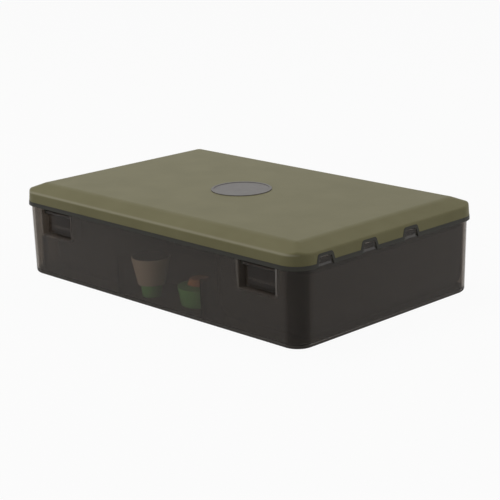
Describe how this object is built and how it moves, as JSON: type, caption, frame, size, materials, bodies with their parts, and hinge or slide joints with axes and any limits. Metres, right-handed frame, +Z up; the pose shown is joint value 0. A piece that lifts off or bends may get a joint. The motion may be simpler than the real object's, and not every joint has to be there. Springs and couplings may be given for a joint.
{
  "type": "tackle box",
  "caption": "Flat tackle box: smoked tub with lift-out trays and loose walls, olive lid hinged at the back, flip latches in front pockets.",
  "frame": {"origin": "on the ground under the middle of the tub's base", "axes": "+X along the long side to the right, -Y out of the front face with the latches, +Z up"},
  "size_m": [0.371, 0.2461, 0.0899],
  "materials": {
    "smoked_plastic": "smoked see-through moulded polypropylene",
    "olive_plastic": "opaque olive moulded polypropylene, fine spark texture",
    "soft_edge": "dark soft thermoplastic rubber, moulded",
    "badge_plastic": "grey moulded plastic",
    "steel_wire": "drawn stainless wire",
    "tray_plastic": "black moulded polypropylene",
    "divider_plastic": "smoked see-through moulded polypropylene",
    "pot_green": "green moulded polypropylene",
    "cap_cream": "cream moulded polypropylene",
    "cap_orange": "orange moulded polypropylene"
  },
  "bodies": {
    "tub": {"base_tub": "smoked_plastic", "hinge_pin_left": "steel_wire", "hinge_pin_right": "steel_wire", "tray_left": "tray_plastic", "tray_right": "tray_plastic", "tray_left_divider_front": "tray_plastic", "tray_left_divider_back": "tray_plastic", "tray_right_divider_front": "tray_plastic", "tray_right_divider_back": "tray_plastic", "tool_divider": "divider_plastic", "left_divider": "divider_plastic", "right_divider": "divider_plastic", "short_divider": "divider_plastic", "pot_left": "pot_green", "pot_right": "pot_green", "pot_left_cap": "cap_cream", "pot_right_cap": "cap_orange"},
    "lid": {"lid_shell": "olive_plastic", "lid_seal": "soft_edge", "lid_emblem": "badge_plastic", "latch_pin_left": "steel_wire", "latch_pin_right": "steel_wire"},
    "latch_left": {"latch_left": "smoked_plastic"},
    "latch_right": {"latch_right": "smoked_plastic"}
  },
  "joints": [
    {"name": "lid_hinge", "type": "hinge", "parent": "tub", "child": "lid", "pos_m": [0, 0.1231, 0.0672], "axis": [-1, 0, 0], "range_deg": [0, 110]},
    {"name": "latch_left_flip", "type": "hinge", "parent": "lid", "child": "latch_left", "pos_m": [-0.1348, -0.11125, 0.0642], "axis": [-1, 0, 0], "range_deg": [0, 100]},
    {"name": "latch_right_flip", "type": "hinge", "parent": "lid", "child": "latch_right", "pos_m": [0.1348, -0.11125, 0.0642], "axis": [-1, 0, 0], "range_deg": [0, 100]}
  ]
}
